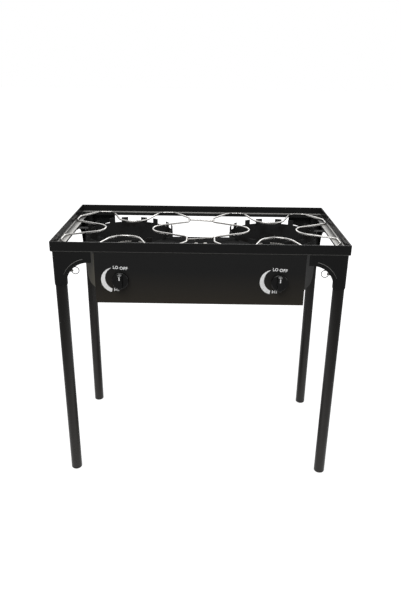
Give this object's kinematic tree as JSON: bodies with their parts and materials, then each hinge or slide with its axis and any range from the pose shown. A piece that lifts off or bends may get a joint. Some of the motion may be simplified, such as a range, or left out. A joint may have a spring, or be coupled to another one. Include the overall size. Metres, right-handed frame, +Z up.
{
  "type": "outdoor gas stove",
  "caption": "Free-standing outdoor gas stove: a low steel tray frame on removable tube legs, with a bent-wire grate over wind-shielded burners and a knob panel.",
  "frame": {"origin": "on the floor under the middle of the whole stove, knobs included", "axes": "+X to the right as seen from the front, +Y to the back, +Z up"},
  "size_m": [0.8, 0.4638, 0.74],
  "materials": {
    "frame_enamel": "satin black enamel",
    "leg_enamel": "satin black enamel",
    "foot_plastic": "moulded black",
    "pin_steel": "zinc plated",
    "ring_steel": "bright wire",
    "grate_chrome": "bright plated wire",
    "shield_enamel": "heat-proof black enamel",
    "burner_iron": "as cast, dark",
    "bar_enamel": "satin black enamel",
    "shutter_steel": "pressed steel",
    "valve_brass": "turned",
    "knob_plastic": "moulded black",
    "panel_enamel": "satin black enamel",
    "bolt_zinc": "zinc plated"
  },
  "bodies": {
    "stand": {"frame_rail_front": "frame_enamel", "frame_rail_back": "frame_enamel", "frame_rail_left": "frame_enamel", "frame_rail_right": "frame_enamel", "corner_bracket_front_left": "frame_enamel", "corner_bracket_front_right": "frame_enamel", "corner_bracket_back_left": "frame_enamel", "corner_bracket_back_right": "frame_enamel", "wind_ring_strap_bolts": "frame_enamel", "leg_front_left": "leg_enamel", "leg_front_right": "leg_enamel", "leg_back_left": "leg_enamel", "leg_back_right": "leg_enamel", "foot_plug_front_left": "foot_plastic", "foot_plug_front_right": "foot_plastic", "foot_plug_back_left": "foot_plastic", "foot_plug_back_right": "foot_plastic", "wind_ring_left": "shield_enamel", "wind_ring_right": "shield_enamel", "wind_ring_strap_left": "shield_enamel", "wind_ring_strap_right": "shield_enamel", "burner_casting_left": "burner_iron", "burner_casting_right": "burner_iron", "burner_cap_left": "burner_iron", "burner_cap_right": "burner_iron", "burner_bar_left": "bar_enamel", "burner_bar_right": "bar_enamel", "manifold_hanger": "bar_enamel", "manifold": "bar_enamel", "valve_left": "valve_brass", "valve_right": "valve_brass", "orifice_left": "valve_brass", "orifice_right": "valve_brass", "gas_inlet": "valve_brass", "manifold_plugs": "valve_brass", "control_panel": "panel_enamel", "deck_plate": "panel_enamel", "panel_bolts": "bolt_zinc", "deck_bolts": "bolt_zinc", "burner_bolts": "bolt_zinc", "valve_screws": "bolt_zinc"},
    "grate": {"grate_rosette_left": "grate_chrome", "grate_rosette_right": "grate_chrome", "grate_ties": "grate_chrome"},
    "knob_left": {"knob_left": "knob_plastic", "valve_stem_left": "valve_brass"},
    "air_shutter_left": {"air_shutter_left": "shutter_steel"},
    "knob_right": {"knob_right": "knob_plastic", "valve_stem_right": "valve_brass"},
    "air_shutter_right": {"air_shutter_right": "shutter_steel"},
    "lock_pin_front_left": {"lock_pin_front_left": "pin_steel"},
    "pull_ring_front_left": {"pull_ring_front_left": "ring_steel"},
    "lock_pin_front_right": {"lock_pin_front_right": "pin_steel"},
    "pull_ring_front_right": {"pull_ring_front_right": "ring_steel"},
    "lock_pin_back_left": {"lock_pin_back_left": "pin_steel"},
    "pull_ring_back_left": {"pull_ring_back_left": "ring_steel"},
    "lock_pin_back_right": {"lock_pin_back_right": "pin_steel"},
    "pull_ring_back_right": {"pull_ring_back_right": "ring_steel"}
  },
  "joints": [
    {"name": "grate_lift", "type": "slide", "parent": "stand", "child": "grate", "axis": [0, 0, 1], "range_m": [0, 0.1]},
    {"name": "knob_turn_left", "type": "hinge", "parent": "stand", "child": "knob_left", "pos_m": [-0.215, -0.2099, 0.635], "axis": [0, -1, 0], "range_deg": [0, 165]},
    {"name": "knob_turn_right", "type": "hinge", "parent": "stand", "child": "knob_right", "pos_m": [0.215, -0.2099, 0.635], "axis": [0, -1, 0], "range_deg": [0, 165]},
    {"name": "air_shutter_turn_left", "type": "hinge", "parent": "stand", "child": "air_shutter_left", "pos_m": [-0.215, -0.1491, 0.635], "axis": [0, -1, 0], "range_deg": [0, 90]},
    {"name": "air_shutter_turn_right", "type": "hinge", "parent": "stand", "child": "air_shutter_right", "pos_m": [0.215, -0.1491, 0.635], "axis": [0, -1, 0], "range_deg": [0, 90]},
    {"name": "lock_pin_pull_front_left", "type": "slide", "parent": "stand", "child": "lock_pin_front_left", "axis": [1, 0, 0], "range_m": [0, 0.034]},
    {"name": "lock_pin_pull_front_right", "type": "slide", "parent": "stand", "child": "lock_pin_front_right", "axis": [-1, 0, 0], "range_m": [0, 0.034]},
    {"name": "lock_pin_pull_back_left", "type": "slide", "parent": "stand", "child": "lock_pin_back_left", "axis": [1, 0, 0], "range_m": [0, 0.034]},
    {"name": "lock_pin_pull_back_right", "type": "slide", "parent": "stand", "child": "lock_pin_back_right", "axis": [-1, 0, 0], "range_m": [0, 0.034]},
    {"name": "pull_ring_swing_front_left", "type": "hinge", "parent": "lock_pin_front_left", "child": "pull_ring_front_left", "pos_m": [-0.35, -0.1891, 0.654], "axis": [0, 0, 1], "range_deg": [-40, 90]},
    {"name": "pull_ring_swing_front_right", "type": "hinge", "parent": "lock_pin_front_right", "child": "pull_ring_front_right", "pos_m": [0.35, -0.1891, 0.654], "axis": [0, 0, 1], "range_deg": [-90, 40]},
    {"name": "pull_ring_swing_back_left", "type": "hinge", "parent": "lock_pin_back_left", "child": "pull_ring_back_left", "pos_m": [-0.35, 0.2129, 0.654], "axis": [0, 0, 1], "range_deg": [-90, 40]},
    {"name": "pull_ring_swing_back_right", "type": "hinge", "parent": "lock_pin_back_right", "child": "pull_ring_back_right", "pos_m": [0.35, 0.2129, 0.654], "axis": [0, 0, 1], "range_deg": [-40, 90]}
  ]
}
